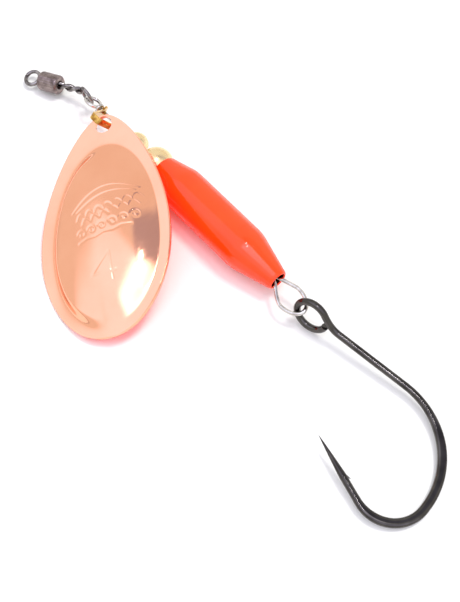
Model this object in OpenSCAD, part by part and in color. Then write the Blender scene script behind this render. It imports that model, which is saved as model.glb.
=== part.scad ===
// Inline spinner: swivel, wire shaft, folded clevis, French blade, two beads, torpedo body, single hook.
// The lure lies on its side on a flat surface. +X runs from the line tie towards the hook, +Z is up.
// The origin is the centre of the line-tie eye. All sizes are in millimetres.

/* [Wire shaft] */
// Diameter of the shaft wire
wire_d = 0.65; // [0.6:0.05:0.7]
// Radius of the closed front eye, to the middle of the wire
front_eye_r = 1.3; // [1.28:0.01:1.35]
// Distance from the centre of the front eye to the end of the rear loop
shaft_len = 50.3; // [50.2:0.05:50.4]
// Width of the pear-shaped rear loop, to the middle of the wire
rear_loop_w = 3.7; // [3.4:0.1:3.8]

/* [Swivel] */
// Distance from the link at the shaft's front eye to the line tie
swivel_len = 12.5; // [12.3:0.1:13]
// Outer diameter of the barrel
barrel_d = 3.2; // [2.9:0.1:3.2]
// Length of the barrel
barrel_len = 3.9; // [3.7:0.1:4.0]
// Radius of the line-tie eye, to the middle of the wire
line_tie_r = 1.25; // [1.1:0.05:1.3]
// Radius of the rear eye, to the middle of the wire
rear_eye_r = 1.45; // [1.45:0.01:1.5]
// Angle of the swivel below the shaft, in degrees
swivel_drop = 10; // [5:1:10]
// Angle of the swivel to the side of the shaft, in degrees
swivel_side = 23; // [15:1:25]
// Angle between the rear eye and the swivel's axis, in degrees
rear_eye_yaw = 27; // [20:1:30]

/* [Clevis] */
// Width of the folded strip
strip_w = 1.1; // [1.0:0.05:1.2]
// Thickness of the folded strip
strip_t = 0.35; // [0.3:0.05:0.4]
// Distance from the shaft to the outside of the fold
clevis_reach = 5.6; // [5.5:0.1:5.8]
// Distance between the two ears along the shaft, centre to centre
clevis_span = 6.1; // [5.8:0.1:6.1]
// Distance between the two legs at the fold, centre to centre
clevis_fold_w = 2.0; // [1.9:0.05:2.2]
// Angle of the clevis above the horizontal, in degrees
clevis_roll = 51; // [49:1:53]

/* [Blade] */
// Length of the blade
blade_len = 36.5; // [36:0.5:37]
// Width of the blade
blade_w = 21.2; // [20.5:0.1:21.5]
// Thickness of the sheet
blade_t = 0.6; // [0.5:0.05:0.7]
// Height of the dome above the flat rim
dome_h = 2.9; // [2.5:0.1:4]
// Width of the flat rim along the sides
rim_w = 2.1; // [1.8:0.1:2.6]
// Diameter of the hole for the clevis
blade_hole_d = 2.7; // [2.6:0.05:2.8]

/* [Beads and body] */
// Diameter of the small bead
small_bead_d = 3.8; // [3.4:0.1:3.8]
// Diameter of the large bead
large_bead_d = 5.3; // [5.0:0.1:5.3]
// Largest diameter of the body
body_d = 7.1; // [6.9:0.1:7.2]
// Length of the body
body_len = 26.4; // [26.1:0.1:26.4]
// Diameter of the bore through the body
body_bore_d = 2.1; // [2.1:0.05:2.2]

/* [Hook] */
// Wire diameter along the shank
hook_wire_d = 1.08; // [1.0:0.02:1.1]
// Radius of the hook's eye, to the middle of the wire
hook_eye_r = 2.5; // [2.45:0.05:2.55]
// Length from the origin of the hook to the end of the straight shank
shank_len = 16; // [15:0.5:17]
// Radius of the long upper bend
upper_bend_r = 12; // [11.5:0.1:12.5]
// Radius of the tight lower bend
lower_bend_r = 5.45; // [5.2:0.05:5.7]
// Length of the straight leg that carries the point
point_len = 10.4; // [10:0.1:11]

/* [Hidden] */

wire_r = wire_d / 2;
hook_r = hook_wire_d / 2;
// Places along the shaft
front_eye_x = -0.8;
front_eye_turn = -36;
clevis_front_x = 1.8;
small_bead_x = 10.35;
large_bead_x = 15.4;
body_front_x = 17.0;
body_rear_x = body_front_x + body_len;
rear_end_x = front_eye_x + shaft_len;
// The blade hangs by its hole
blade_hole_at = [6.5, -3.0, 3.66];
blade_turn = [19.5, 8.6, -38.6];
blade_hole_from_tip = 1.75;
// The hook hangs by its eye
hook_at = [51.35, 0.05, -0.05];
hook_eye_centre = [-0.62, -0.22, 0];
hook_turn = [0.5, 5.2, 9.2];
// Distance between linked eyes that leaves the wires a running gap
link_gap = 0.14;

function unit(v) = v / norm(v);
function lerp(a, b, t) = a + (b - a) * t;
function smooth(t) = let (c = min(max(t, 0), 1)) c * c * (3 - 2 * c);
// Direction of travel at point i of a path
function heading(path, i) =
    unit(path[min(i + 1, len(path) - 1)] - path[max(i - 1, 0)]);
// One ring of a swept tube: half-sizes across and along the side vector
function tube_ring(path, i, across, along, side, sides) =
    let (n = unit(cross(heading(path, i), side)), b = unit(cross(n, heading(path, i))))
    [for (k = [0:sides - 1])
        path[i] + n * across * cos(360 * k / sides) + b * along * sin(360 * k / sides)];
function flat(list) = [for (a = list) for (b = a) b];

// Tube along a path. across and along are lists of half-sizes, side is never parallel to the path.
module tube(path, across, along, side, sides = 12) {
    rings = len(path);
    points = flat([for (i = [0:rings - 1])
        tube_ring(path, i, across[i], along[i], side, sides)]);
    walls = [for (i = [0:rings - 2]) for (k = [0:sides - 1]) [
        i * sides + k, i * sides + (k + 1) % sides,
        (i + 1) * sides + (k + 1) % sides, (i + 1) * sides + k]];
    first_cap = [for (k = [sides - 1:-1:0]) k];
    last_cap = [for (k = [0:sides - 1]) (rings - 1) * sides + k];
    polyhedron(points, concat([first_cap], walls, [last_cap]), convexity = 6);
}

module round_tube(path, r, side, sides = 12) {
    sizes = [for (p = path) r];
    tube(path, sizes, sizes, side, sides);
}

module ring(r, wire) {
    rotate_extrude($fn = 64) translate([r, 0]) circle(wire, $fn = 32);
}

// Everything is drawn along the shaft, then moved so that the line tie is at zero.
swivel_link = [front_eye_x - front_eye_r + 2 * wire_r + link_gap, 0, 0];
swivel_shift = 2 * rear_eye_r * sin(rear_eye_yaw);
line_tie_at = swivel_link
    + swivel_len * [-cos(swivel_drop) * cos(swivel_side), -cos(swivel_drop) * sin(swivel_side), -sin(swivel_drop)]
    + swivel_shift * [-sin(swivel_side), cos(swivel_side), 0];
module in_place() {
    translate(-line_tie_at) children();
}

// Swivel frame: origin at the link to the shaft, local +X points to the line tie.
module on_swivel() {
    in_place() translate(swivel_link) rotate([0, -swivel_drop, swivel_side]) mirror([1, 0, 0]) children();
}
// The swivel's axis runs along local +X through the barrel.
module on_barrel() {
    on_swivel() translate([0, swivel_shift, 0]) children();
}

barrel_front_x = swivel_len - line_tie_r - wire_r - 0.12;
barrel_rear_x = barrel_front_x - barrel_len;
barrel_wall = 0.3;
barrel_chamfer = 0.5;
stem_r = 0.45;
stem_hole_r = 0.52;
neck_hole_r = 0.72;
head_r = 0.95;
head_t = 0.7;
head_gap = 0.15;

module line_tie_eye() {
    color("silver") on_barrel() {
        translate([swivel_len, 0, 0]) rotate([12, 0, 0]) ring(line_tie_r, wire_r);
        translate([barrel_front_x - barrel_wall - 0.3, 0, 0]) rotate([0, 90, 0])
            cylinder(h = swivel_len - line_tie_r - barrel_front_x + barrel_wall + 0.3, r = stem_r, $fn = 48);
        translate([barrel_front_x - barrel_wall - head_gap - head_t, 0, 0]) rotate([0, 90, 0])
            cylinder(h = head_t, r = head_r, $fn = 48);
    }
}

module swivel_barrel() {
    barrel_r = barrel_d / 2;
    inner_r = barrel_r - barrel_wall;
    color("dimgray") on_barrel() translate([barrel_rear_x, 0, 0]) rotate([0, 90, 0])
        rotate_extrude($fn = 96) polygon([
            [neck_hole_r, 0], [barrel_r - barrel_chamfer, 0], [barrel_r, barrel_chamfer],
            [barrel_r, barrel_len - barrel_chamfer], [barrel_r - barrel_chamfer, barrel_len],
            [stem_hole_r, barrel_len], [stem_hole_r, barrel_len - barrel_wall],
            [inner_r - 0.25, barrel_len - barrel_wall], [inner_r, barrel_len - barrel_wall - 0.25],
            [inner_r, barrel_wall + 0.25], [inner_r - 0.25, barrel_wall], [neck_hole_r, barrel_wall]]);
}

// The neck is the two ends of the ring's wire twisted together.
module swivel_rear_eye() {
    neck_from = 2 * rear_eye_r * cos(rear_eye_yaw) - 0.1;
    neck_to = barrel_rear_x + barrel_wall + head_gap + 0.2;
    strand_r = 0.29;
    strand_offset = 0.27;
    twist = 450;
    color("gray") {
        on_swivel() rotate([0, 0, rear_eye_yaw]) translate([rear_eye_r, 0, 0])
            rotate([90, 0, 0]) ring(rear_eye_r, wire_r);
        on_barrel() {
            for (start = [0, 180])
                round_tube([for (i = [0:24]) let (t = i / 24)
                    [lerp(neck_from, neck_to, t), strand_offset * cos(start + twist * t),
                     strand_offset * sin(start + twist * t)]], strand_r, [0, 0.3, 1], 10);
            translate([barrel_rear_x + barrel_wall + head_gap, 0, 0]) rotate([0, 90, 0])
                cylinder(h = head_t, r = head_r, $fn = 48);
        }
    }
}

// The rear loop opens like a pear from the tail of the body and closes with a round end.
loop_start_x = 42.2;
loop_wide_x = 46.35;
loop_lean = -0.58;
loop_steps = 12;
function loop_open(x) = let (t = (x - loop_start_x) / (loop_wide_x - loop_start_x)) (t + smooth(t)) / 2;
function loop_side(x) = lerp(wire_r * 0.6, rear_loop_w / 2, loop_open(x));
function loop_middle(x) = loop_lean * smooth((x - loop_start_x) / (loop_wide_x - loop_start_x));
function loop_leg(side) = [for (i = [0:loop_steps]) let (x = lerp(loop_start_x, loop_wide_x, i / loop_steps))
    [x, loop_middle(x) + side * loop_side(x), 0]];
function loop_end() = [for (a = [82.5:-7.5:-82.5])
    [loop_wide_x + (rear_end_x - loop_wide_x) * cos(a), loop_lean + rear_loop_w / 2 * sin(a), 0]];
// The wire comes along the shaft, goes round the loop and runs back beside itself inside the body.
function loop_path() = concat(
    [[loop_start_x - 2, 0, 0]], loop_leg(1), loop_end(), [for (i = [loop_steps:-1:0]) loop_leg(-1)[i]],
    [[loop_start_x - 1.5, -2 * wire_r, 0], [loop_start_x - 14, -2 * wire_r, 0]]);

module shaft_wire() {
    wrap_x = front_eye_x + front_eye_r + wire_r + 0.06;
    shaft_from = front_eye_x + front_eye_r;
    color("lightgray") in_place() {
        translate([front_eye_x, 0, 0]) rotate([front_eye_turn, 0, 0]) ring(front_eye_r, wire_r);
        translate([shaft_from, 0, 0]) rotate([0, 90, 0])
            cylinder(h = loop_start_x - 1 - shaft_from, r = wire_r, $fn = 48);
        translate([wrap_x, 0, 0]) rotate([0, 84, 0]) ring(2 * wire_r - 0.07, wire_r * 0.9);
        rotate([15, 0, 0]) round_tube(loop_path(), wire_r * 1.04, [0, 0, 1]);
    }
}

// The strip's outline in the plane of the fold: x along the shaft, y away from it. The legs splay.
module fold_outline(inset) {
    corner = 0.85 - inset;
    top = clevis_reach - corner - inset;
    left = leg_foot(0)[0] - strip_t / 2 + inset;
    right = leg_foot(1)[0] + strip_t / 2 - inset;
    centres = [[leg_top(0)[0] - strip_t / 2 + inset + corner, top],
               [leg_top(1)[0] + strip_t / 2 - inset - corner, top]];
    foot_y = inset > 0 ? -1 : 0;
    polygon([[left, foot_y], centres[0] - [corner, 0], centres[0], centres[1],
             centres[1] + [corner, 0], [right, foot_y]]);
    translate(centres[0]) square([centres[1][0] - centres[0][0], corner]);
    for (c = centres)
        translate(c) circle(corner, $fn = 48);
}
function leg_foot(side) = [side * clevis_span, 0];
function leg_top(side) = [clevis_span / 2 + (side - 0.5) * clevis_fold_w, clevis_reach - 0.85];
function leg_tilt(side) = let (d = leg_top(side) - leg_foot(side)) atan2(d[0], d[1]);

module clevis() {
    ear_r = 1.1;
    ear_hole_r = 0.42;
    color("gold") in_place() translate([clevis_front_x, 0, 0]) rotate([-clevis_roll, 0, 0])
        mirror([0, 1, 0]) difference() {
            union() {
                translate([0, 0, -strip_w / 2]) linear_extrude(strip_w) difference() {
                    fold_outline(0);
                    fold_outline(strip_t);
                }
                for (side = [0, 1])
                    translate(leg_foot(side)) rotate([0, 0, -leg_tilt(side)]) translate([-strip_t / 2, 0, 0])
                        rotate([0, 90, 0]) cylinder(h = strip_t, r = ear_r, $fn = 64);
            }
            translate([-1, 0, 0]) rotate([0, 90, 0])
                cylinder(h = clevis_span + 2, r = ear_hole_r, $fn = 48);
        }
}

// Blade outline: half width at the fraction t of the length, widest past the middle
function egg(t) = pow(max(sin(180 * pow(t, 1.27)), 0), 0.45);
dome_from = 5.8;
dome_to = blade_len - 1.2;
dome_centre = 0.56 * blade_len;
blade_ring_n = 72;
dome_rings = 9;
rim_rings = 2;
// Fraction of the length and side of the blade for point k round the edge
function edge_t(k) = (1 - cos(360 * k / blade_ring_n)) / 2;
function edge_side(k) = 2 * k < blade_ring_n ? 1 : -1;
function edge_at(k) = let (t = edge_t(k)) [blade_len * t, edge_side(k) * blade_w / 2 * egg(t)];
function dome_at(k) = let (t = edge_t(k))
    [lerp(dome_from, dome_to, t), edge_side(k) * (blade_w / 2 - rim_w) * egg(t)];
function dome_height(q) = dome_h * pow(1 - q * q, 0.72);
// One closed ring of the top surface, from the middle of the dome (row 0) to the edge
function blade_ring(row) = [for (k = [0:blade_ring_n - 1])
    row <= dome_rings
        ? let (q = sin(90 * row / dome_rings), p = lerp([dome_centre, 0], dome_at(k), q))
            [p[0], p[1], dome_height(q)]
        : let (p = lerp(dome_at(k), edge_at(k), (row - dome_rings) / rim_rings)) [p[0], p[1], 0]];

module blade_sheet() {
    rows = dome_rings + rim_rings;
    n = blade_ring_n;
    top = flat([for (row = [1:rows]) blade_ring(row)]);
    count = len(top);
    centre = [dome_centre, 0, dome_h];
    bottom = [for (p = top) p - [0, 0, blade_t]];
    points = concat(top, bottom, [centre, centre - [0, 0, blade_t]]);
    faces = concat(
        [for (k = [0:n - 1]) [2 * count, (k + 1) % n, k]],
        [for (k = [0:n - 1]) [2 * count + 1, count + k, count + (k + 1) % n]],
        [for (row = [0:rows - 2]) for (k = [0:n - 1]) each
            let (a = row * n + k, b = row * n + (k + 1) % n)
            [[a, b, b + n], [a, b + n, a + n],
             [count + a, count + b + n, count + b], [count + a, count + a + n, count + b + n]]],
        [for (k = [0:n - 1]) each let (a = (rows - 1) * n + k, b = (rows - 1) * n + (k + 1) % n)
            [[a, b, count + b], [a, count + b, count + a]]]);
    polyhedron(points, faces, convexity = 6);
}

module blade() {
    color("peru") in_place() translate(blade_hole_at) rotate(blade_turn)
        translate([-blade_hole_from_tip, 0, blade_t / 2]) difference() {
            blade_sheet();
            translate([blade_hole_from_tip, 0, -2]) cylinder(h = 4, d = blade_hole_d, $fn = 48);
        }
}

module bead(d, hole_d) {
    difference() {
        sphere(d = d, $fn = 96);
        rotate([0, 90, 0]) cylinder(h = d + 1, d = hole_d, center = true, $fn = 48);
    }
}

module small_bead() {
    color("gold") in_place() translate([small_bead_x, 0, 0]) bead(small_bead_d, wire_d + 0.2);
}

module large_bead() {
    color("gold") in_place() translate([large_bead_x, 0, 0]) bead(large_bead_d, wire_d + 0.2);
}

// Torpedo: a straight middle, a short blunt nose and a longer tail, with a seat for the bead in front
module body() {
    r = body_d / 2;
    nose_r = 2.38;
    tail_r = 1.65;
    nose_len = 4.6;
    tail_len = 7.0;
    ease = 1.1;
    bore_r = body_bore_d / 2;
    mouth_r = 1.3;
    mouth_depth = 1.6;
    blend_steps = 6;
    nose_slope = (r - nose_r) / nose_len;
    tail_slope = (r - tail_r) / tail_len;
    color("orangered") in_place() translate([body_front_x, 0, 0]) rotate([0, 90, 0]) difference() {
        rotate_extrude($fn = 128) polygon(concat(
            [[0, 0], [nose_r - 0.05, 0], [nose_r, 0.06]],
            [for (i = [0:blend_steps]) let (t = i / blend_steps, x = nose_len + ease * (2 * t - 1))
                [r - nose_slope * ease * pow(1 - t, 2), x]],
            [for (i = [0:blend_steps]) let (t = i / blend_steps,
                x = body_len - tail_len + ease * (2 * t - 1))
                [r - tail_slope * ease * pow(t, 2), x]],
            [[tail_r, body_len - 0.12], [tail_r - 0.15, body_len], [0, body_len]]));
        translate([0, 0, -1]) cylinder(h = body_len + 2, r = bore_r, $fn = 64);
        translate([0, 0, body_len - mouth_depth])
            cylinder(h = mouth_depth + 0.001, r1 = bore_r, r2 = mouth_r, $fn = 64);
        translate([0, 0, large_bead_x - body_front_x]) sphere(d = large_bead_d + 0.16, $fn = 96);
    }
}

// Hook: its own plane holds the shank, the bend and the point. The eye is turned square to that plane.
point_turn = 112;
upper_centre = [shank_len, -upper_bend_r];
lower_centre = [shank_len + upper_bend_r - lower_bend_r, -upper_bend_r - 0.5];
point_start = lower_centre + lower_bend_r * [cos(point_turn), -sin(point_turn)];
point_dir = [-sin(point_turn), -cos(point_turn)];
function on_arc(centre, r, a) = [centre[0] + r * cos(a), centre[1] + r * sin(a), 0];
function hook_path() = concat(
    [hook_eye_centre + [hook_eye_r - 0.1, 0, 0], [3.2, -0.1, 0], [5, 0, 0], [shank_len - 3, 0, 0]],
    [for (a = [90:-7.5:0]) on_arc(upper_centre, upper_bend_r, a)],
    [for (a = [0:-8:-point_turn]) on_arc(lower_centre, lower_bend_r, a)],
    [for (t = [0.15, 0.3, 0.42, 0.55, 0.7, 0.85, 0.95, 1]) let (p = point_start + point_dir * point_len * t)
        [p[0], p[1], 0]]);
// The bend is pressed flat, so it is wider in its plane than the shank. The point tapers to nothing.
function hook_sizes(path) = [for (i = [0:len(path) - 1])
    let (p = path[i], last = len(path) - 1,
         left = (last - i) < 8 ? norm(p - path[last]) : point_len,
         press = smooth(norm(p - [shank_len, 0, 0]) * (p[0] > shank_len || p[1] < -3 ? 1 : 0) / 9))
    [taper(left) * hook_r * (1.04 + 0.26 * press), taper(left) * hook_r * (1.04 - 0.08 * press)]];
function taper(left) = max(pow(min(left / 6.5, 1), 0.8), 0.05);

module hook() {
    path = hook_path();
    sizes = hook_sizes(path);
    barb_root = point_start + point_dir * (point_len - 5.7);
    barb_angle = atan2(point_dir[1], point_dir[0]) + 205;
    color("dimgray") in_place() translate(hook_at) rotate(hook_turn) {
        translate(hook_eye_centre) rotate([76, 0, 0]) ring(hook_eye_r, hook_r);
        tube(path, [for (s = sizes) s[0]], [for (s = sizes) s[1]], [0, 0, 1]);
        translate([barb_root[0], barb_root[1], 0]) rotate([0, 0, barb_angle]) rotate([0, 90, 0])
            cylinder(h = 1.9, r1 = 0.36, r2 = 0.05, $fn = 24);
    }
}

line_tie_eye();
swivel_barrel();
swivel_rear_eye();
shaft_wire();
clevis();
blade();
small_bead();
large_bead();
body();
hook();
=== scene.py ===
import math

import bmesh
import bpy
from mathutils import Euler, Matrix, Vector


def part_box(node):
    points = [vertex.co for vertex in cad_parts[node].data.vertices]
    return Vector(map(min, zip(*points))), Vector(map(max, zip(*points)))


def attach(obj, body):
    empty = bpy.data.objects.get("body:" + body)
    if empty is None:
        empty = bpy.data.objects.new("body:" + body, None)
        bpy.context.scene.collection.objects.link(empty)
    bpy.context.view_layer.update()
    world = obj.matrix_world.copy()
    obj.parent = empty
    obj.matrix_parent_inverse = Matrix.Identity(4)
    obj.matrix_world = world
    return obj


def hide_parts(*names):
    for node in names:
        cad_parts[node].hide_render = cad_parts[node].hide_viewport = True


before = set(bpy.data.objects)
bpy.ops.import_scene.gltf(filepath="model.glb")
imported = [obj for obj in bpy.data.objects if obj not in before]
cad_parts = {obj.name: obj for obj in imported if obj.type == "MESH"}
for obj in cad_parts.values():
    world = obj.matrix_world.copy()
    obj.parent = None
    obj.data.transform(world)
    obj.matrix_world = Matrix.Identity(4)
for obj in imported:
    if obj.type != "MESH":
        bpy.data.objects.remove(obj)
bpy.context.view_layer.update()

MM = 0.001
# Sizes below are in millimetres, in a frame whose X axis is the shaft. The body starts at
# BODY_FRONT_X there.
body_low, body_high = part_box("body")
BODY_FRONT_X = 17.0
BODY_LEN = (body_high.x - body_low.x) / MM
BODY_R = (body_high.z - body_low.z) / MM / 2
SHAFT = Vector((body_low.x - BODY_FRONT_X * MM,
                (body_low.y + body_high.y) / 2,
                (body_low.z + body_high.z) / 2))
TO_ROW = Matrix.Translation(SHAFT) @ Matrix.Scale(MM, 4)
FLOOR_Z = body_low.z

WIRE_R = 0.325
AXIS_X = Vector((1, 0, 0))
AXIS_Y = Vector((0, 1, 0))
AXIS_Z = Vector((0, 0, 1))


# ---------------------------------------------------------------- mesh helpers

def smooth(t):
    t = min(max(t, 0.0), 1.0)
    return t * t * (3 - 2 * t)


def lerp(a, b, t):
    return a + (b - a) * t


def turned(degrees):
    """The matrix that OpenSCAD's rotate([x, y, z]) makes."""
    return Euler([math.radians(d) for d in degrees], "XYZ").to_matrix().to_4x4()


def moved(x, y, z):
    return Matrix.Translation((x, y, z))


def face_outwards(mesh, merge=None):
    """Turns all faces outwards, after merging points that are closer than merge."""
    work = bmesh.new()
    work.from_mesh(mesh)
    if merge:
        bmesh.ops.remove_doubles(work, verts=work.verts, dist=merge)
    bmesh.ops.recalc_face_normals(work, faces=work.faces)
    work.to_mesh(mesh)
    work.free()


def piece(name, verts, faces, material, node, slot, body, place=Matrix.Identity(4), sharp=35):
    """A finished mesh, given in millimetres, in place on its body. It replaces the CAD node, if any."""
    mesh = bpy.data.meshes.new(name)
    whole = TO_ROW @ place
    mesh.from_pydata([whole @ Vector(v) for v in verts], [], faces)
    mesh.validate()
    face_outwards(mesh)
    mesh.shade_smooth()
    mesh.set_sharp_from_angle(angle=math.radians(sharp))
    obj = bpy.data.objects.new(name, mesh)
    bpy.context.collection.objects.link(obj)
    mesh.materials.append(material)
    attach(obj, body)
    if node:
        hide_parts(node)
    return obj


def join(*parts):
    """Several (verts, faces) pairs as one."""
    verts, faces = [], []
    for part_verts, part_faces in parts:
        start = len(verts)
        verts += [Vector(v) for v in part_verts]
        faces += [tuple(start + i for i in f) for f in part_faces]
    return verts, faces


def put(part, matrix):
    """A (verts, faces) pair, moved by the matrix."""
    return [matrix @ Vector(v) for v in part[0]], part[1]


def sweep(path, section, side, closed=False):
    """A tube along path. section(t, angle) is its outline at the fraction t, across side and along it."""
    count = len(path)
    sides = section.sides
    verts = []
    for i, point in enumerate(path):
        before = path[i - 1] if i or closed else path[0]
        after = path[(i + 1) % count] if i < count - 1 or closed else path[-1]
        forward = (after - before).normalized()
        across = forward.cross(side).normalized()
        along = across.cross(forward).normalized()
        for k in range(sides):
            a, b = section(i / (count - 1), 2 * math.pi * k / sides)
            verts.append(point + across * a + along * b)
    rings = count if closed else count - 1
    faces = []
    for i in range(rings):
        j = (i + 1) % count
        for k in range(sides):
            n = (k + 1) % sides
            faces.append((i * sides + k, i * sides + n, j * sides + n, j * sides + k))
    if not closed:
        faces.append(tuple(range(sides)))
        faces.append(tuple((count - 1) * sides + k for k in range(sides)))
    return verts, faces


def round_section(radius, sides=24):
    """The outline of a round tube."""
    def outline(t, angle):
        return radius * math.cos(angle), radius * math.sin(angle)
    outline.sides = sides
    return outline


def lathe(profile, sides=96, closed=False, wave=None):
    """Turns a profile of (x, r) points about the X axis. wave(x, angle) adds to the radius."""
    verts, faces = [], []
    for x, r in profile:
        for k in range(sides):
            angle = 2 * math.pi * k / sides
            rr = r + (wave(x, angle) if wave else 0)
            verts.append(Vector((x, rr * math.cos(angle), rr * math.sin(angle))))
    rows = len(profile) if closed else len(profile) - 1
    for i in range(rows):
        j = (i + 1) % len(profile)
        for k in range(sides):
            n = (k + 1) % sides
            faces.append((i * sides + k, i * sides + n, j * sides + n, j * sides + k))
    return verts, faces


def polar(centre, radius, degrees):
    angle = math.radians(degrees)
    return centre[0] + radius * math.cos(angle), centre[1] + radius * math.sin(angle)


def arc(centre, radius, start, end, steps):
    """Points (x, y) of an arc, angles in degrees."""
    return [polar(centre, radius, lerp(start, end, i / steps)) for i in range(steps + 1)]


def ring(radius, wire, steps=72):
    """A closed ring of wire in the XY plane."""
    path = [Vector((x, y, 0)) for x, y in arc((0, 0), radius, 0, 360, steps)[:-1]]
    return sweep(path, round_section(wire), AXIS_Z, closed=True)


# ---------------------------------------------------------------- materials

def new_material(name):
    material = bpy.data.materials.new(name)
    material.use_nodes = True
    nodes = material.node_tree.nodes
    return material, nodes, material.node_tree.links, nodes["Principled BSDF"]


def noise(nodes, links, scale, detail=4.0, stretch=(1, 1, 1)):
    """Noise in object space: the object's own coordinates are metres."""
    coords = nodes.new("ShaderNodeTexCoord")
    mapping = nodes.new("ShaderNodeMapping")
    mapping.inputs["Scale"].default_value = stretch
    texture = nodes.new("ShaderNodeTexNoise")
    texture.inputs["Scale"].default_value = scale
    texture.inputs["Detail"].default_value = detail
    links.new(coords.outputs["Object"], mapping.inputs["Vector"])
    links.new(mapping.outputs["Vector"], texture.inputs["Vector"])
    return texture


def ramp(nodes, links, source, stops):
    """Colours at places from 0 to 1, driven by a texture's factor."""
    node = nodes.new("ShaderNodeValToRGB")
    links.new(source, node.inputs["Fac"])
    elements = node.color_ramp.elements
    for i, (at, value) in enumerate(stops):
        element = elements[i] if i < 2 else elements.new(at)
        element.position = at
        element.color = (*value, 1) if isinstance(value, tuple) else (value, value, value, 1)
    return node


def bump(nodes, links, source, strength, distance):
    node = nodes.new("ShaderNodeBump")
    node.inputs["Strength"].default_value = strength
    node.inputs["Distance"].default_value = distance
    links.new(source, node.inputs["Height"])
    return node


def plated_metal(name, light, dark, rough_low, rough_high, scale=900, brushed=(1, 1, 1), grain=0.1):
    """Polished or plated metal: tone and polish vary, and fine marks break the reflections."""
    material, nodes, links, shader = new_material(name)
    shader.inputs["Metallic"].default_value = 1.0
    cloud = noise(nodes, links, scale)
    tone = ramp(nodes, links, cloud.outputs["Fac"], [(0.3, dark), (0.7, light)])
    links.new(tone.outputs["Color"], shader.inputs["Base Color"])
    fine = noise(nodes, links, scale * 4, 6, brushed)
    polish = ramp(nodes, links, fine.outputs["Fac"], [(0.3, rough_low), (0.75, rough_high)])
    links.new(polish.outputs["Color"], shader.inputs["Roughness"])
    marks = bump(nodes, links, fine.outputs["Fac"], grain, 0.00002)
    links.new(marks.outputs["Normal"], shader.inputs["Normal"])
    return material


ORANGE_DEEP = (1.0, 0.043, 0.001)
ORANGE_THIN = (1.0, 0.053, 0.003)
ORANGE_PAINTED_GLOW = (1.0, 0.05, 0.02, 1)


def gloss_paint(name, painted_glow):
    """Fluorescent orange-red lacquer under a clear coat, a little lighter where it lies thin. It also has
    a painted glow: its emission throws red light onto the floor beside it.
    """
    material, nodes, links, shader = new_material(name)
    cloud = noise(nodes, links, 260, 3)
    tone = ramp(nodes, links, cloud.outputs["Fac"], [(0.25, ORANGE_DEEP), (0.8, ORANGE_THIN)])
    links.new(tone.outputs["Color"], shader.inputs["Base Color"])
    shader.inputs["Roughness"].default_value = 0.5
    shader.inputs["Specular IOR Level"].default_value = 0.0
    shader.inputs["Coat Weight"].default_value = 1.0
    shader.inputs["Coat Roughness"].default_value = 0.025
    shader.inputs["Coat IOR"].default_value = 1.45
    # Painted glow: this emission lights the floor next to the paint red, in place of light bounced off it
    shader.inputs["Emission Color"].default_value = ORANGE_PAINTED_GLOW
    shader.inputs["Emission Strength"].default_value = painted_glow
    orange_peel = noise(nodes, links, 700, 2)
    surface = bump(nodes, links, orange_peel.outputs["Fac"], 0.05, 0.00003)
    links.new(surface.outputs["Normal"], shader.inputs["Coat Normal"])
    return material


COPPER = plated_metal("blade_copper", (0.97, 0.475, 0.30), (0.93, 0.43, 0.26),
                      rough_low=0.09, rough_high=0.16, scale=160, brushed=(6, 1, 1), grain=0.03)
BRASS_BEAD = plated_metal("bead_brass", (0.96, 0.74, 0.43), (0.91, 0.67, 0.35),
                          rough_low=0.24, rough_high=0.32, scale=500, grain=0.03)
BRASS_STRIP = plated_metal("clevis_brass", (0.86, 0.55, 0.15), (0.40, 0.18, 0.035),
                           rough_low=0.1, rough_high=0.24, scale=1500, grain=0.15)
PEWTER = plated_metal("swivel_barrel", (0.34, 0.27, 0.255), (0.14, 0.105, 0.10),
                      rough_low=0.2, rough_high=0.36, scale=1100, brushed=(1, 8, 8), grain=0.3)
SWIVEL_WIRE = plated_metal("swivel_wire", (0.38, 0.35, 0.34), (0.06, 0.05, 0.048),
                           rough_low=0.07, rough_high=0.18, scale=1300, grain=0.2)
STAINLESS = plated_metal("stainless_wire", (0.80, 0.77, 0.73), (0.42, 0.38, 0.35),
                         rough_low=0.05, rough_high=0.14, scale=900, brushed=(1, 6, 6), grain=0.06)
BLACK_NICKEL = plated_metal("hook_black_nickel", (0.102, 0.094, 0.087), (0.045, 0.041, 0.038),
                            rough_low=0.035, rough_high=0.09, scale=450, grain=0.03)
# Near black: painted shade, for the sheet that darkens the inside of the bore
BORE_SHADE = plated_metal("bore_painted_shade", (0.03, 0.012, 0.01), (0.012, 0.005, 0.004),
                    rough_low=0.5, rough_high=0.7, scale=900)
# The body's paint has a small painted glow
PAINT_AND_GLOW = gloss_paint("body_paint", 0.16)
# The paint on the blade's back has a stronger painted glow, which reddens the floor under the blade's
# edge
BACK_LACQUER_AND_GLOW = gloss_paint("blade_back_paint_and_glow", 0.5)


# ---------------------------------------------------------------- swivel

FRONT_EYE_X = -0.8
FRONT_EYE_R = 1.3
FRONT_EYE_TURN = -36
REAR_EYE_R = 1.45
REAR_EYE_YAW = 27
SWIVEL_LEN = 12.5
LINE_TIE_R = 1.25
LINE_TIE_ROLL = 12
STEM_R = 0.45
BARREL_R = 1.6
BARREL_LEN = 3.9
BARREL_WALL = 0.3
BARREL_CORNER = 0.5
NECK_HOLE_R = 0.72
STEM_HOLE_R = 0.53
FLUTES = 18
FLUTE_DEPTH = 0.05
STRAND_R = 0.33
STRAND_SPREAD = 0.31
NECK_TWIST = 450
# The heads inside the barrel lie between these depths from its ends
HEAD_FROM = 0.45
HEAD_TO = 1.15
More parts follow.
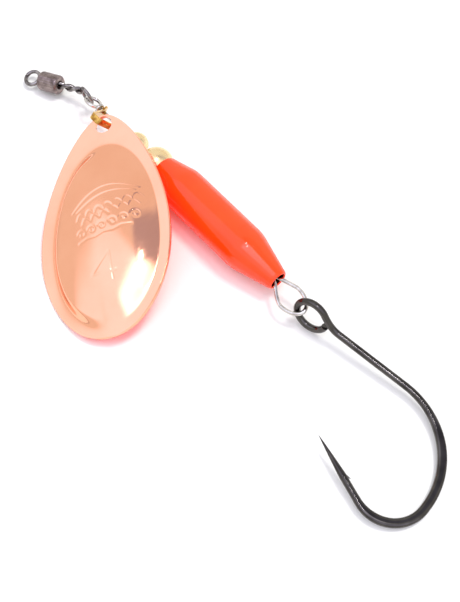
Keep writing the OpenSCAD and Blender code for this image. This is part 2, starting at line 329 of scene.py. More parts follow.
# The two linked rings are drawn a little thinner than the other wire, to give them room to swing
REAR_EYE_SHARE = 0.87
FRONT_EYE_SHARE = 0.94
LINK_X = FRONT_EYE_X - FRONT_EYE_R + 2 * WIRE_R + 0.14
SWIVEL_SHIFT = 2 * REAR_EYE_R * math.sin(math.radians(REAR_EYE_YAW))
BARREL_FRONT = SWIVEL_LEN - LINE_TIE_R - WIRE_R - 0.12
BARREL_REAR = BARREL_FRONT - BARREL_LEN
ON_SWIVEL = moved(LINK_X, 0, 0) @ turned((0, -10, 23)) @ Matrix.Scale(-1, 4, AXIS_X)
ON_BARREL = ON_SWIVEL @ moved(0, SWIVEL_SHIFT, 0)


def swivel_barrel():
    """A drawn shell with long flutes and ends turned in round the two wires."""
    inner = BARREL_R - BARREL_WALL
    def flutes(x, angle):
        fade = smooth((x - 0.35) / 0.4) * smooth((BARREL_LEN - 0.35 - x) / 0.4)
        return fade * FLUTE_DEPTH * (abs(math.cos(FLUTES / 2 * angle)) ** 0.7 - 1)
    corner_y = BARREL_R - BARREL_CORNER
    profile = [(BARREL_WALL, NECK_HOLE_R), (0.06, NECK_HOLE_R), (0.0, NECK_HOLE_R + 0.08)]
    profile += arc((BARREL_CORNER, corner_y), BARREL_CORNER, 180, 90, 8)
    profile += [(lerp(0.55, BARREL_LEN - 0.55, i / 20), BARREL_R) for i in range(21)]
    profile += arc((BARREL_LEN - BARREL_CORNER, corner_y), BARREL_CORNER, 90, 0, 8)
    profile += [(BARREL_LEN, STEM_HOLE_R + 0.07), (BARREL_LEN - 0.06, STEM_HOLE_R)]
    profile += [(BARREL_LEN - BARREL_WALL, STEM_HOLE_R)]
    profile += [(BARREL_LEN - BARREL_WALL, inner), (BARREL_WALL, inner)]
    place = ON_BARREL @ moved(BARREL_REAR, 0, 0)
    piece("swivel_barrel_shell", *lathe(profile, 144, closed=True, wave=flutes), PEWTER,
          "swivel_barrel", "swivel_barrel", "swivel_barrel", place, 40)


def upset_head(inner_x, outer_x):
    """The head that keeps a stem inside the barrel, with its larger chamfer at inner_x."""
    way = math.copysign(0.1, outer_x - inner_x)
    return lathe([(inner_x, 0.0), (inner_x, 0.8), (inner_x + way, 0.95),
                  (outer_x - way, 0.95), (outer_x, 0.85), (outer_x, 0.0)], 48)


def line_tie_eye():
    """A wire ring whose two ends run into the barrel and hold it with a head inside."""
    stem_from = BARREL_FRONT - 0.6
    stem_to = SWIVEL_LEN - LINE_TIE_R
    stem = lathe([(stem_from, 0.0), (stem_from, STEM_R), (stem_to - 0.25, STEM_R),
                  (stem_to - 0.1, STEM_R - 0.03), (stem_to + 0.15, 0.2), (stem_to + 0.15, 0.0)], 32)
    head = upset_head(BARREL_FRONT - HEAD_TO, BARREL_FRONT - HEAD_FROM)
    eye = put(ring(LINE_TIE_R, WIRE_R), moved(SWIVEL_LEN, 0, 0) @ turned((LINE_TIE_ROLL, 0, 0)))
    piece("line_tie_ring", *join(eye, stem, head), SWIVEL_WIRE,
          "line_tie_eye", "swivel_wire", "line_tie", ON_BARREL)


def twisted_strand(start, x_from, x_to, steps=60):
    """One of the two ends of the rear ring, wound round the other."""
    path = []
    for i in range(steps + 1):
        t = i / steps
        spread = STRAND_SPREAD * smooth((1 - t) / 0.12 + 0.6)
        y, z = polar((0, 0), spread, start + NECK_TWIST * t)
        path.append(Vector((lerp(x_from, x_to, t), y, z)))
    return sweep(path, round_section(STRAND_R, 18), Vector((0, 0.3, 1)))


def swivel_rear_eye():
    """A second ring, its ends twisted together into the neck that enters the barrel."""
    neck_from = 2 * REAR_EYE_R * math.cos(math.radians(REAR_EYE_YAW)) + 0.05
    strands = [twisted_strand(start, neck_from, BARREL_REAR + 0.65) for start in (0, 180)]
    head = upset_head(BARREL_REAR + HEAD_TO, BARREL_REAR + HEAD_FROM)
    neck = put(join(*strands, head), moved(0, SWIVEL_SHIFT, 0))
    eye_place = turned((0, 0, REAR_EYE_YAW)) @ moved(REAR_EYE_R, 0, 0) @ turned((90, 0, 0))
    eye = put(ring(REAR_EYE_R, WIRE_R * REAR_EYE_SHARE), eye_place)
    piece("swivel_twisted_eye", *join(eye, neck), SWIVEL_WIRE, "swivel_rear_eye", "swivel_wire",
          "swivel_link", ON_SWIVEL)


# ---------------------------------------------------------------- shaft

REAR_END_X = FRONT_EYE_X + 50.3
LOOP_START_X = 42.2
LOOP_WIDE_X = 46.35
LOOP_HALF_W = 1.85
LOOP_LEAN = -0.58
LOOP_ROLL = 15
TAIL_BACK = 14
WRAP_R = 0.58
WRAP_TURN = 430
WRAP_PITCH = 0.34


def loop_leg(side, steps=24):
    """One leg of the rear loop, from the shaft to the widest place."""
    points = []
    for i in range(steps + 1):
        x = lerp(LOOP_START_X, LOOP_WIDE_X, i / steps)
        t = (x - LOOP_START_X) / (LOOP_WIDE_X - LOOP_START_X)
        opened = lerp(WIRE_R * 0.6, LOOP_HALF_W, (t + smooth(t)) / 2)
        points.append(Vector((x, LOOP_LEAN * smooth(t) + side * opened, 0)))
    return points


def loop_end():
    """The round end of the rear loop."""
    reach = REAR_END_X - LOOP_WIDE_X
    points = []
    for degrees in range(86, -87, -4):
        x = LOOP_WIDE_X + reach * math.cos(math.radians(degrees))
        y = LOOP_LEAN + LOOP_HALF_W * math.sin(math.radians(degrees))
        points.append(Vector((x, y, 0)))
    return points


def shaft_wire():
    """One wire: a front eye whose end is wrapped round the shaft, the shaft, and a pear-shaped loop."""
    eye_turn = turned((FRONT_EYE_TURN, 0, 0))
    eye = put(ring(FRONT_EYE_R, WIRE_R * FRONT_EYE_SHARE), moved(FRONT_EYE_X, 0, 0) @ eye_turn)
    eye_end = FRONT_EYE_X + FRONT_EYE_R
    shaft_end = LOOP_START_X - 1
    shaft = lathe([(eye_end, 0.0), (eye_end, WIRE_R), (shaft_end, WIRE_R), (shaft_end, 0.0)], 32)
    wrap = []
    for i in range(49):
        t = i / 48
        y, z = polar((0, 0), WRAP_R, 200 + WRAP_TURN * t)
        wrap.append(Vector((eye_end + WIRE_R - 0.1 + WRAP_PITCH * t, y, z)))
    coil = sweep(wrap, round_section(WIRE_R * 0.88, 18), AXIS_X)
    path = [Vector((LOOP_START_X - 2, 0, 0))] + loop_leg(1) + loop_end() + loop_leg(-1)[::-1]
    for back in (1.5, TAIL_BACK):
        path.append(Vector((LOOP_START_X - back, -2 * WIRE_R, 0)))
    loop = put(sweep(path, round_section(WIRE_R), AXIS_Z), turned((LOOP_ROLL, 0, 0)))
    piece("shaft_formed_wire", *join(eye, shaft, coil, loop), STAINLESS,
          "shaft_wire", "stainless_wire", "shaft")


# ---------------------------------------------------------------- clevis

CLEVIS_X = 1.8
CLEVIS_SPAN = 6.1
CLEVIS_REACH = 5.6
FOLD_W = 2.0
STRIP_W = 1.1
STRIP_T = 0.35
FOLD_CORNER = 0.85
EAR_R = 1.1
EAR_HOLE_R = 0.42
CLEVIS_ROLL = 51


def strip_section(width, thickness, edge=0.08, corner_steps=3):
    """A flat strip with rounded edges."""
    corners = []
    for sx, sy, turn in ((1, 1, 0), (-1, 1, 90), (-1, -1, 180), (1, -1, 270)):
        centre = (sx * (thickness / 2 - edge), sy * (width / 2 - edge))
        corners += arc(centre, edge, turn, turn + 90, corner_steps)
    def outline(t, angle):
        return corners[round(angle / (2 * math.pi) * len(corners)) % len(corners)]
    outline.sides = len(corners)
    return outline


def ear(hole_r):
    """A round ear with softened edges, its axis along X."""
    half, edge = STRIP_T / 2, 0.07
    profile = [(-half, hole_r + edge), (-half, EAR_R - edge), (-half + edge, EAR_R), (half - edge, EAR_R),
               (half, EAR_R - edge), (half, hole_r + edge), (half - edge, hole_r), (-half + edge, hole_r)]
    return lathe(profile, 64, closed=True)


def clevis():
    """A strip folded into a stirrup. An ear at each foot turns on the shaft."""
    top_y = CLEVIS_REACH - FOLD_CORNER
    bend_r = FOLD_CORNER - STRIP_T / 2
    feet = [Vector((0, 0, 0)), Vector((CLEVIS_SPAN, 0, 0))]
    tops = [Vector((CLEVIS_SPAN / 2 + s * FOLD_W / 2, top_y, 0)) for s in (-1, 1)]
    tilt = math.degrees(math.atan2(tops[0].x - feet[0].x, top_y))
    left_centre = (tops[0].x + bend_r, top_y)
    right_centre = (tops[1].x - bend_r, top_y)
    path = [feet[0].lerp(tops[0], t) for t in (0.16, 0.3, 0.5, 0.7, 0.85, 0.95)]
    path += [Vector((x, y, 0)) for x, y in arc(left_centre, bend_r, 180 - tilt * 0.3, 90, 10)]
    path += [Vector((x, y, 0)) for x, y in arc(right_centre, bend_r, 90, tilt * 0.3, 10)]
    path += [tops[1].lerp(feet[1], t) for t in (0.05, 0.15, 0.3, 0.5, 0.7, 0.84)]
    strip = sweep(path, strip_section(STRIP_W, STRIP_T), AXIS_Z)
    ears = [put(ear(EAR_HOLE_R), Matrix.Translation(foot) @ turned((0, 0, lean)))
            for foot, lean in ((feet[0], -tilt), (feet[1], tilt))]
    place = moved(CLEVIS_X, 0, 0) @ turned((-CLEVIS_ROLL, 0, 0)) @ Matrix.Scale(-1, 4, AXIS_Y)
    piece("clevis_folded_strip", *join(strip, *ears), BRASS_STRIP,
          "clevis", "clevis_brass", "clevis", place)


# ---------------------------------------------------------------- blade

BLADE_LEN = 36.5
BLADE_W = 21.2
BLADE_T = 0.6
DOME_H = 2.75
FLAT_SHARE = 0.64
WALL_SHARE = 0.13
RIM_W = 2.1
HOLE_R = 1.42
HOLE_FROM_TIP = 1.75
DOME_FROM = 5.6
DOME_TO = BLADE_LEN - 1.15
DOME_WIDEST = 0.6 * BLADE_LEN
DOME_SIDE = 0.3
DOME_HALF_W = BLADE_W / 2 - RIM_W + 0.15
BLADE_EDGE_R = 0.12
FILM_INSET = 0.05
BLADE_ROWS = 330
BLADE_COLUMNS = 200
# Where the hole hangs on the clevis, and how the blade leans there
BLADE_PIVOT = (6.5, -3.0, 3.66)
BLADE_TURN = (19.5, 8.6, -38.6)


def egg(t):
    """The half-width of the outline, as a share, at the fraction t from the hole to the tip."""
    return max(math.sin(math.pi * min(max(t, 0), 1) ** 1.27), 0) ** 0.45


def dome_height(x, y):
    """Height of the bowl above the flat rim. On one side it is flatter and ends in a steep wall."""
    reach = (DOME_TO - DOME_WIDEST) if x > DOME_WIDEST else (DOME_WIDEST - DOME_FROM)
    spread = math.hypot((x - DOME_WIDEST) / reach, (y - DOME_SIDE) / DOME_HALF_W)
    bowl = 1 - spread ** 2.05
    walled = FLAT_SHARE * bowl + (1 - FLAT_SHARE) * smooth((1 - spread) / WALL_SHARE)
    height = DOME_H * lerp(bowl, walled, smooth((DOME_SIDE - y) / 5))
    roll = 0.10 + 0.30 * smooth((x - 26) / 9)
    return (height + math.sqrt(height ** 2 + roll ** 2)) / 2


# Stamped marks: a plain pattern of scallops, scrolls and a wavy line under two long arcs, and the size
# number. No lettering.
STAMP_CENTRE = Vector((17.6, 1.5))
STAMP_ALONG = Vector((-0.26, 0.966))
STAMP_DOWN = Vector((0.966, 0.26))


def stamped(points):
    """Stroke points along and down the stamp, as places in the blade's plane."""
    places = [STAMP_CENTRE + STAMP_ALONG * along + STAMP_DOWN * down for along, down in points]
    return [(p.x, p.y) for p in places]


def arch(left, right, base, height, steps=16):
    shares = [i / steps for i in range(steps + 1)]
    return [(lerp(left, right, t), base - height * math.sin(math.pi * t)) for t in shares]


def scroll(left, base, size, steps=22):
    """A breaking wave: it rises, curls over and runs back under itself."""
    turns = [math.radians(lerp(200, 560, i / steps)) for i in range(steps + 1)]
    radii = [size * lerp(1.0, 0.35, i / steps) for i in range(steps + 1)]
    return [(left + r * math.cos(a), base + r * math.sin(a)) for a, r in zip(turns, radii)]


SCALLOP_W = 1.5
LONG_ARCS = [arch(-5.4, 5.6, -1.9, 2.3), arch(-4.6, 5.0, -1.7, 1.3)]
FIRST_SCALLOPS = [arch(left, left + SCALLOP_W, -0.3, 0.9, 8)
                  for left in (-4.9, -3.4, -1.9, -0.4, 1.1, 2.6, 4.1)]
SECOND_SCALLOPS = [arch(left, left + SCALLOP_W, 0.7, 0.9, 8)
                   for left in (-4.2, -2.7, -1.2, 0.3, 1.8, 3.3)]
SCROLLS = [scroll(centre, 2.1, 0.72) for centre in (-4.6, -2.9, -1.2, 0.5, 2.2, 3.9)]
WAVY_LINE = [[(-5.4, 3.4), (-4.0, 3.15), (-2.6, 3.4), (-1.2, 3.15), (0.2, 3.4), (1.6, 3.15), (3.0, 3.4)]]
SIZE_NUMBER = [[(24.0, 1.9), (27.4, -0.9), (27.0, 3.0)], [(24.0, 1.9), (28.4, 2.35)]]
PATTERN = LONG_ARCS + FIRST_SCALLOPS + SECOND_SCALLOPS + SCROLLS + WAVY_LINE
STAMP = [stamped(stroke) for stroke in PATTERN] + SIZE_NUMBER
STAMP_FROM_X = 11
STAMP_TO_X = 29.5
STAMP_DEPTH = 0.075
STROKE_W = 0.14
STROKE_END = 0.45
STROKE_REACH = 0.5


def out_of_reach(value, a, b):
    return min(a, b) - STROKE_REACH > value or max(a, b) + STROKE_REACH < value


def stroke_distance(x, y):
    """How far a place on the blade is from the nearest stamped stroke."""
    best = 9.0
    for stroke in STAMP:
        for (ax, ay), (bx, by) in zip(stroke, stroke[1:]):
            if out_of_reach(x, ax, bx) or out_of_reach(y, ay, by):
                continue
            length = (bx - ax) ** 2 + (by - ay) ** 2
            t = min(max(((x - ax) * (bx - ax) + (y - ay) * (by - ay)) / length, 0), 1)
            best = min(best, math.hypot(x - ax - t * (bx - ax), y - ay - t * (by - ay)))
    return best


def stamp_depth(x, y):
    if x < STAMP_FROM_X or x > STAMP_TO_X:
        return 0.0
    d = stroke_distance(x, y)
    return STAMP_DEPTH * math.exp(-(d / STROKE_W) ** 2) if d < STROKE_END else 0.0


def blade_grid(z_of, inset):
    """Points over the blade, in rows from the hole to the tip, that stay inset from the outline."""
    points = []
    for i in range(BLADE_ROWS + 1):
        t = (1 - math.cos(math.pi * i / BLADE_ROWS)) / 2
        t = lerp(i / BLADE_ROWS, t, 0.75)
        half = max(BLADE_W / 2 * egg(t) - inset, 0)
        x = min(max(BLADE_LEN * t, inset), BLADE_LEN - inset)
        for k in range(BLADE_COLUMNS + 1):
            even = lerp(-1, 1, k / BLADE_COLUMNS)
            y = half * lerp(even, math.sin(math.pi / 2 * even), 0.5)
            points.append(Vector((x, y, z_of(x, y))))
    return points


def grid_faces(upper, lower):
    """Faces of two grids whose points start at upper and lower. The second one faces down."""
    wide = BLADE_COLUMNS + 1
    faces = []
    for i in range(BLADE_ROWS):
        for k in range(BLADE_COLUMNS):
            p = upper + i * wide + k
            q = lower + i * wide + k
            faces.append((p, p + 1, p + wide + 1, p + wide))
            faces.append((q, q + wide, q + wide + 1, q + 1))
    return faces


def grid_rim():
    """The outermost points of a grid, once round."""
    wide = BLADE_COLUMNS + 1
    rim = [i * wide for i in range(BLADE_ROWS + 1)]
    rim += [BLADE_ROWS * wide + k for k in range(1, wide)]
    rim += [i * wide + wide - 1 for i in range(BLADE_ROWS - 1, -1, -1)]
    rim += [k for k in range(wide - 2, 0, -1)]
    return rim


def band(upper, lower):
    """Faces between two closed rows of points."""
    upper_next, lower_next = upper[1:] + upper[:1], lower[1:] + lower[:1]
    return list(zip(upper, upper_next, lower_next, lower))


def blade_sheet(rim):
    """The bowl with its flat rim: a stamped face and a back, joined by a bevelled edge."""
    top = blade_grid(lambda x, y: dome_height(x, y) - stamp_depth(x, y), BLADE_EDGE_R)
    back = blade_grid(lambda x, y: dome_height(x, y) - BLADE_T, BLADE_EDGE_R)
    outline = blade_grid(lambda x, y: 0, 0)
    verts = top + back
    faces = grid_faces(0, len(top))
    rings = [rim]
    for z in (-BLADE_EDGE_R, -BLADE_T + BLADE_EDGE_R):
        start = len(verts)
        verts += [Vector((outline[r].x, outline[r].y, z)) for r in rim]
        rings.append(list(range(start, start + len(rim))))
    rings.append([len(top) + r for r in rim])
    for upper, lower in zip(rings, rings[1:]):
        faces += band(upper, lower)
    return verts, faces


def blade_film(rim):
    """The lacquer on the back: a film just below the sheet, closed at its rim."""
    upper = blade_grid(lambda x, y: dome_height(x, y) - BLADE_T + 0.01, FILM_INSET)
    lower = blade_grid(lambda x, y: dome_height(x, y) - BLADE_T - 0.03, FILM_INSET)
    closing = band(rim, [len(upper) + r for r in rim])
    return upper + lower, grid_faces(0, len(upper)) + closing


def blade():
    """The stamped copper sheet and the lacquer on its back, with one hole through both."""
    rim = grid_rim()
    place = moved(*BLADE_PIVOT) @ turned(BLADE_TURN) @ moved(-HOLE_FROM_TIP, 0, BLADE_T / 2)
    hole_place = place @ moved(HOLE_FROM_TIP, 0, -BLADE_T / 2)
    sheet = piece("blade_stamped_sheet", *blade_sheet(rim), COPPER,
                  "blade", "blade_copper", "blade", place, 50)
    punch_hole(sheet, hole_place)
    film = piece("blade_back_lacquer", *blade_film(rim), BACK_LACQUER_AND_GLOW,
                 None, "body_paint", "blade", place, 50)
    punch_hole(film, hole_place)


def punch_hole(sheet, place):
    """Cuts the clevis hole through the sheet."""
    profile = [(-2, 0.0), (-2, HOLE_R), (2, HOLE_R), (2, 0.0)]
    verts, faces = lathe(profile, 72)
    mesh = bpy.data.meshes.new("punch")
    whole = TO_ROW @ place @ turned((0, -90, 0))
    mesh.from_pydata([whole @ v for v in verts], [], faces)
    face_outwards(mesh, merge=1e-7)
    punch = bpy.data.objects.new("punch", mesh)
    bpy.context.collection.objects.link(punch)
    cut = sheet.modifiers.new("hole", "BOOLEAN")
    cut.object = punch
    cut.solver = "EXACT"
    bpy.context.view_layer.update()
    cut_sheet = sheet.evaluated_get(bpy.context.evaluated_depsgraph_get())
    result = bpy.data.meshes.new_from_object(cut_sheet)
    sheet.modifiers.remove(cut)
    sheet.data = result
    bpy.data.objects.remove(punch)


# ---------------------------------------------------------------- beads and body

def bead(name, x, diameter, body):
    """A turned bead with a softened hole."""
    r, hole_r = diameter / 2, WIRE_R + 0.1
    edge = math.asin((hole_r + 0.08) / r)
    turns = [lerp(edge, math.pi - edge, i / 60) for i in range(61)]
    profile = [(-r * math.cos(a), r * math.sin(a)) for a in turns]
    face = r * math.cos(edge)
    profile += [(face - 0.05, hole_r), (-face + 0.05, hole_r)]
    piece(f"{name}_turned", *lathe(profile, 96, closed=True), BRASS_BEAD,
          name, "bead_brass", body, moved(x, 0, 0))


SMALL_BEAD_X = 10.35
SMALL_BEAD_D = 3.8
LARGE_BEAD_X = 15.4
LARGE_BEAD_D = 5.3
NOSE_R = 2.38
NOSE_LEN = 4.6
TAIL_R = 1.65
TAIL_LEN = 7.0
BORE_R = 1.05
MOUTH_R = 1.3
MOUTH_DEPTH = 1.6
MOUTH_EDGE = 0.35
SHADE_SLEEVE_T = 0.04
SEAT_R = 2.73


def body_radius(x):
    """Torpedo profile: cones eased into the straight middle."""
    ease_nose, ease_tail = 0.85, 0.95
    nose_slope = (BODY_R - NOSE_R) / NOSE_LEN
    tail_slope = (BODY_R - TAIL_R) / TAIL_LEN
    def ease(u, width):
        if u <= -width:
            return 0.0
        return (u + width) ** 2 / (4 * width) if u < width else u
    nose_drop = nose_slope * ease(NOSE_LEN - x, ease_nose)
    tail_drop = tail_slope * ease(x - BODY_LEN + TAIL_LEN, ease_tail)
    return BODY_R - nose_drop - tail_drop


def torpedo():
    """The painted body, with the paint rolled over both ends, and its bore, lined with a near-black sheet
    that is painted shade.
    """
    seat_x = LARGE_BEAD_X - BODY_FRONT_X
    seat_edge = math.acos(-seat_x / SEAT_R) if abs(seat_x) < SEAT_R else 0
    bore_angle = math.asin(BORE_R / SEAT_R)
    seat_turns = [lerp(bore_angle, seat_edge, i / 16) for i in range(17)]
    seat = [(seat_x + SEAT_R * math.cos(a), SEAT_R * math.sin(a)) for a in seat_turns]
    round_from = BODY_LEN - MOUTH_EDGE
    outer = [(0.0, NOSE_R - 0.03), (0.03, NOSE_R)]
    outer += [(x, body_radius(x)) for x in [lerp(0.1, round_from, i / 160) for i in range(161)]]
    tail_turns = [math.pi / 2 * i / 8 for i in range(1, 9)]
    outer += [(round_from + MOUTH_EDGE * math.sin(a), TAIL_R - 0.3 + MOUTH_EDGE * math.cos(a))
              for a in tail_turns]
    mouth = [(BODY_LEN - 0.03, MOUTH_R + 0.02), (BODY_LEN - 0.3, MOUTH_R - 0.04)]
    mouth += [(BODY_LEN - MOUTH_DEPTH, BORE_R)]
    place = moved(BODY_FRONT_X, 0, 0)
    piece("body_painted", *lathe(outer + mouth + seat, 144, closed=True), PAINT_AND_GLOW,
          "body", "body_paint", "body", place, 40)
    # A near-black sheet inside the bore: painted shade for the dark depth of the hole, not a real lining
    shade_sleeve_r = BORE_R - SHADE_SLEEVE_T
    shade_sleeve_end = BODY_LEN - 0.2
    shade_sleeve = [(2.0, BORE_R), (2.0, shade_sleeve_r), (BODY_LEN - MOUTH_DEPTH, shade_sleeve_r),
              (round_from, MOUTH_R - 0.09), (shade_sleeve_end, MOUTH_R - 0.08), (shade_sleeve_end, MOUTH_R - 0.02),
              (round_from, MOUTH_R - 0.04), (BODY_LEN - MOUTH_DEPTH, BORE_R)]
    piece("body_bore_shade_sleeve", *lathe(shade_sleeve, 64, closed=True), BORE_SHADE,
          None, "body_paint", "body", place)


# ---------------------------------------------------------------- hook

HOOK_R = 0.54
HOOK_EYE_R = 2.5
HOOK_EYE = Vector((-0.62, -0.22, 0))
SHANK_LEN = 16
UPPER_R = 12
LOWER_R = 5.45
POINT_LEN = 10.4
POINT_TURN = 112
EYE_TILT = 76
EYE_FROM = 357
EYE_LEAVE = 46
EYE_STEPS = 80
RUN_STEPS = 24
TAPER_LEN = 6.5
BARB_FROM_POINT = 5.7
BARB_LEAN = 205
BARB_LEN = 1.9
# The bend is pressed flat from this far along the shank to this far before the point
PRESS_FROM = 14
PRESS_TO = 9
HOOK_PLACE = (51.35, 0.05, -0.05)
HOOK_TURN = (0.5, 5.2, 9.2)


def hook_path():
    """Shank, long upper bend, tight lower bend and the leg with the point, in the hook's plane."""
    upper = (SHANK_LEN, -UPPER_R)
    lower = (SHANK_LEN + UPPER_R - LOWER_R, -UPPER_R - 0.5)
    shank_from = HOOK_EYE.x + HOOK_EYE_R + 2.3
    points = [(lerp(shank_from, SHANK_LEN, i / 12), 0.0) for i in range(12)]
    points += arc(upper, UPPER_R, 90, 0, 30)
    points += arc(lower, LOWER_R, 0, -POINT_TURN, 36)[1:]
    leg_turn = math.radians(POINT_TURN)
    start = Vector((lower[0] + LOWER_R * math.cos(leg_turn), lower[1] - LOWER_R * math.sin(leg_turn), 0))
    ahead = Vector((-math.sin(leg_turn), -math.cos(leg_turn), 0))
    path = eye_bend(Vector((shank_from, 0, 0))) + [Vector((x, y, 0)) for x, y in points[1:]]
    path += [start + ahead * POINT_LEN * (i / 36) for i in range(1, 37)]
    return path, start, ahead


def eye_bend(shank_start):
    """The eye, from its square-cut end round to where it runs into the shank."""
    tilt = turned((EYE_TILT, 0, 0))
    turns = arc((0, 0), HOOK_EYE_R, EYE_FROM, EYE_LEAVE, EYE_STEPS)
    path = [HOOK_EYE + tilt @ Vector((x, y, 0)) for x, y in turns]
    turn_end = path[-1]
    heading = (path[-1] - path[-2]).normalized() * 4.2
    run = AXIS_X * 3.2
    for i in range(1, RUN_STEPS + 1):
        t = i / RUN_STEPS
        path.append(turn_end * (2 * t ** 3 - 3 * t ** 2 + 1) + heading * (t ** 3 - 2 * t ** 2 + t)
                    + shank_start * (3 * t ** 2 - 2 * t ** 3) + run * (t ** 3 - t ** 2))
    return path


def barb(start, ahead):
    """A small tapering barb that leans back from the point."""
    root = start + ahead * (POINT_LEN - BARB_FROM_POINT)
    lean = math.degrees(math.atan2(ahead.y, ahead.x)) + BARB_LEAN
    path = [Vector((lerp(-0.2, BARB_LEN, i / 10), 0, 0)) for i in range(11)]
    def outline(t, angle):
        return 0.34 * (1 - t) ** 0.8 * math.cos(angle) + 0.02, (0.2 * (1 - t) + 0.02) * math.sin(angle)
    outline.sides = 12
    return put(sweep(path, outline, AXIS_Z), Matrix.Translation(root) @ turned((0, 0, lean)))


def hook():
    """A forged hook: a closed eye, round shank, bend pressed flat, barb and a long taper to the point."""
    path, start, ahead = hook_path()
    # What is left of the wire from each place to the point
    left = [0.0]
    for a, b in zip(path[::-1], path[-2::-1]):
        left.append(left[-1] + (b - a).length)
    left = left[::-1]
    shank_left = left[EYE_STEPS + RUN_STEPS]
    def forged(t, angle):
        i = round(t * (len(path) - 1))
        taper = max(min(left[i] / TAPER_LEN, 1) ** 0.8, 0.04)
        pressed = smooth((shank_left - left[i] - PRESS_FROM) / 9) * smooth((left[i] - PRESS_TO) / 5)
        across, along = math.cos(angle), math.sin(angle)
        power = lerp(1.0, 0.72, pressed)
        across = math.copysign(abs(across) ** power, across)
        along = math.copysign(abs(along) ** power, along)
        radius = HOOK_R * taper
        return radius * (1 + 0.24 * pressed) * across, radius * (1 - 0.06 * pressed) * along
    forged.sides = 32
    wire = sweep(path, forged, AXIS_Z)
    place = moved(*HOOK_PLACE) @ turned(HOOK_TURN)
    piece("hook_forged", *join(wire, barb(start, ahead)), BLACK_NICKEL,
          "hook", "hook_black_nickel", "hook", place)


# ---------------------------------------------------------------- studio

PAPER_DARK = (0.76, 0.755, 0.715)
PAPER_LIGHT = (0.775, 0.77, 0.73)


def floor_material():
    material, nodes, links, shader = new_material("floor_paper")
    cloud = noise(nodes, links, 30, 2)
    tone = ramp(nodes, links, cloud.outputs["Fac"], [(0.3, PAPER_DARK), (0.7, PAPER_LIGHT)])
    links.new(tone.outputs["Color"], shader.inputs["Base Color"])
    shader.inputs["Roughness"].default_value = 0.6
    shader.inputs["Specular IOR Level"].default_value = 0.2
    return material


def math_node(nodes, links, operation, a, b):
    node = nodes.new("ShaderNodeMath")
    node.operation = operation
    for socket, value in zip(node.inputs, (a, b)):
        if isinstance(value, (int, float)):
            socket.default_value = value
        else:
            links.new(value, socket)
    return node.outputs[0]


def step_up(nodes, links, value, low, high):
    """0 below low, 1 above high, smooth between. With low over high it steps down."""
    node = nodes.new("ShaderNodeMapRange")
    node.interpolation_type = "SMOOTHSTEP"
    node.inputs["From Min"].default_value = low
    node.inputs["From Max"].default_value = high
    links.new(value, node.inputs["Value"])
    return node.outputs["Result"]


def sky_plan(nodes, links):
    """Where a direction meets a ceiling one unit up, as east and north, and then its own Z, X and Y."""
    coords = nodes.new("ShaderNodeTexCoord")
    split = nodes.new("ShaderNodeSeparateXYZ")
    links.new(coords.outputs["Generated"], split.inputs["Vector"])
    rise = math_node(nodes, links, "MAXIMUM", split.outputs["Z"], 0.02)
    east = math_node(nodes, links, "DIVIDE", split.outputs["X"], rise)
    north = math_node(nodes, links, "DIVIDE", split.outputs["Y"], rise)
    return east, north, split.outputs["Z"], split.outputs["X"], split.outputs["Y"]


def patch(nodes, links, east, north, heading, along, across, soft):
    """A mask over part of the ceiling: a band that runs out along a heading, between the limits."""
    c, s = math.cos(math.radians(heading)), math.sin(math.radians(heading))
    out = math_node(nodes, links, "ADD", math_node(nodes, links, "MULTIPLY", east, c),
                    math_node(nodes, links, "MULTIPLY", north, s))
    side = math_node(nodes, links, "SUBTRACT", math_node(nodes, links, "MULTIPLY", east, s),
                     math_node(nodes, links, "MULTIPLY", north, c))
    mask = step_up(nodes, links, out, along[0] - soft, along[0] + soft)
    for value, low, high in ((out, along[1] + soft, along[1] - soft),
                             (side, across[0] - soft, across[0] + soft),
                             (side, across[1] + soft, across[1] - soft)):
        mask = math_node(nodes, links, "MULTIPLY", mask, step_up(nodes, links, value, low, high))
    return mask


def blend(nodes, links, mask, below, value):
    """below where the mask is 0, value where it is 1."""
    change = math_node(nodes, links, "SUBTRACT", value, below)
    return math_node(nodes, links, "ADD", below, math_node(nodes, links, "MULTIPLY", mask, change))


# Brightness and blueness of the parts of the tent, and the directions in which they lie
LIT_HEADING = -72
PANEL_HEADING = -90
GAP_HEADING = 58
FAR_LEVEL = 0.95
LIT_LEVEL = 1.42
HEM_LEVEL = 0.66
PANEL_LEVEL = 3.6
GAP_LEVEL = 0.54
FAR_BLUE = 0.98
LIT_BLUE = 1.22
GAP_BLUE = 1.25


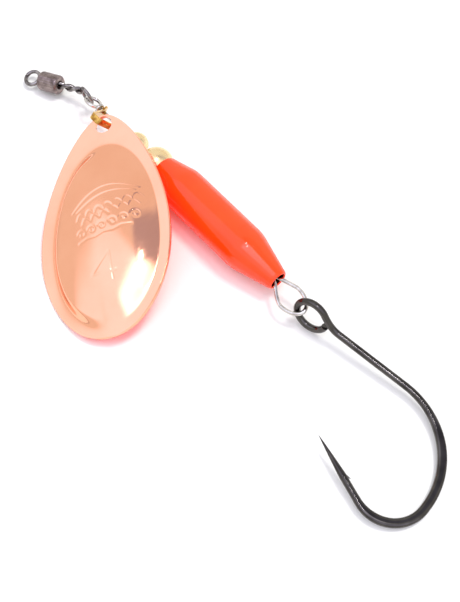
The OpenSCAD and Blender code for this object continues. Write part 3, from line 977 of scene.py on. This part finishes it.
def light_tent():
    """A white tent, brighter on one side, with a dim hem, a bright panel and a dark gap."""
    world = bpy.data.worlds.new("light_tent")
    bpy.context.scene.world = world
    world.use_nodes = True
    nodes, links = world.node_tree.nodes, world.node_tree.links
    background = nodes["Background"]
    east, north, rise, x, y = sky_plan(nodes, links)
    lit_x, lit_y = polar((0, 0), 1, LIT_HEADING)
    near_side = math_node(nodes, links, "ADD", math_node(nodes, links, "MULTIPLY", x, lit_x),
                          math_node(nodes, links, "MULTIPLY", y, lit_y))
    lit = math_node(nodes, links, "MULTIPLY", step_up(nodes, links, near_side, -0.13, 0.0),
                    step_up(nodes, links, rise, 0.45, 0.72))
    level = blend(nodes, links, lit, FAR_LEVEL, LIT_LEVEL)
    hem = step_up(nodes, links, rise, 0.14, 0.03)
    level = blend(nodes, links, hem, level, HEM_LEVEL)
    panel = patch(nodes, links, east, north, PANEL_HEADING, (-0.20, 0.56), (-0.20, 0.0), 0.08)
    level = blend(nodes, links, panel, level, PANEL_LEVEL)
    gap = patch(nodes, links, east, north, GAP_HEADING, (0.0, 4.5), (-0.415, 0.03), 0.035)
    level = blend(nodes, links, gap, level, GAP_LEVEL)
    links.new(level, background.inputs["Strength"])
    tint = nodes.new("ShaderNodeCombineColor")
    tint.inputs["Red"].default_value = 1.0
    tint.inputs["Green"].default_value = 1.0
    blue = blend(nodes, links, gap, blend(nodes, links, lit, FAR_BLUE, LIT_BLUE), GAP_BLUE)
    links.new(blue, tint.inputs["Blue"])
    links.new(tint.outputs["Color"], background.inputs["Color"])


# Places are seen from the middle of the lure, in metres; powers are in watts
LAMP_AT = Vector((0.045, 0.0, 0.55))
LAMP_SIZE = (0.006, 0.15)
LAMP_POWER = 0.22
LAMP_TURN = 34
SOFTBOX_AT = Vector((0.06, 0.19, 0.55))
SOFTBOX_SIZE = (0.14, 0.14)
SOFTBOX_POWER = 1.9
FLOOR_SIZE = 3.0


def area_light(name, place, target, size, power):
    light = bpy.data.lights.new(name, "AREA")
    light.shape = "RECTANGLE"
    light.size, light.size_y = size
    light.energy = power
    obj = bpy.data.objects.new(name, light)
    obj.location = place
    obj.rotation_euler = (Vector(target) - Vector(place)).to_track_quat("-Z", "Y").to_euler()
    bpy.context.collection.objects.link(obj)
    return obj


def strip_lamp(middle):
    """A short tube overhead: the thin bright streak on everything that shines."""
    lamp = area_light("strip_lamp", middle + LAMP_AT, middle, LAMP_SIZE, LAMP_POWER)
    lamp.rotation_euler = (0, 0, math.radians(LAMP_TURN))


def studio():
    """A pale table in a light tent, with a small lamp overhead and a softbox at the side."""
    mesh = bpy.data.meshes.new("floor")
    corners = [(x * FLOOR_SIZE, y * FLOOR_SIZE, FLOOR_Z) for x, y in ((-1, -1), (1, -1), (1, 1), (-1, 1))]
    mesh.from_pydata(corners, [], [(0, 1, 2, 3)])
    mesh.materials.append(floor_material())
    floor = bpy.data.objects.new("floor", mesh)
    bpy.context.collection.objects.link(floor)
    light_tent()
    middle = TO_ROW @ Vector((30, -5, 0))
    strip_lamp(middle)
    softbox = area_light("side_softbox", middle + SOFTBOX_AT, middle, SOFTBOX_SIZE, SOFTBOX_POWER)
    softbox.visible_glossy = False


CAMERA_ELEVATION = 62.54
CAMERA_HEADING = 138.5
CAMERA_DISTANCE = 146.65
CAMERA_TARGET = (39.8, -6.28, 0)
CAMERA_LENS = 58.64


def camera():
    """The camera looks down at a place on the table beside the body."""
    elevation, heading = math.radians(CAMERA_ELEVATION), math.radians(CAMERA_HEADING)
    target = TO_ROW @ Vector(CAMERA_TARGET)
    target.z = FLOOR_Z
    level = math.cos(elevation)
    ahead = Vector((level * math.cos(heading), level * math.sin(heading), -math.sin(elevation)))
    data = bpy.data.cameras.new("camera")
    data.sensor_fit = "VERTICAL"
    data.sensor_height = 36
    data.lens = CAMERA_LENS
    data.clip_start = 0.005
    obj = bpy.data.objects.new("camera", data)
    obj.location = target - ahead * CAMERA_DISTANCE * MM
    obj.rotation_euler = ahead.to_track_quat("-Z", "Y").to_euler()
    bpy.context.collection.objects.link(obj)
    bpy.context.scene.camera = obj


swivel_barrel()
line_tie_eye()
swivel_rear_eye()
shaft_wire()
clevis()
blade()
bead("small_bead", SMALL_BEAD_X, SMALL_BEAD_D, "small_bead")
bead("large_bead", LARGE_BEAD_X, LARGE_BEAD_D, "large_bead")
torpedo()
hook()
studio()
camera()
bpy.context.scene.view_settings.view_transform = "Standard"
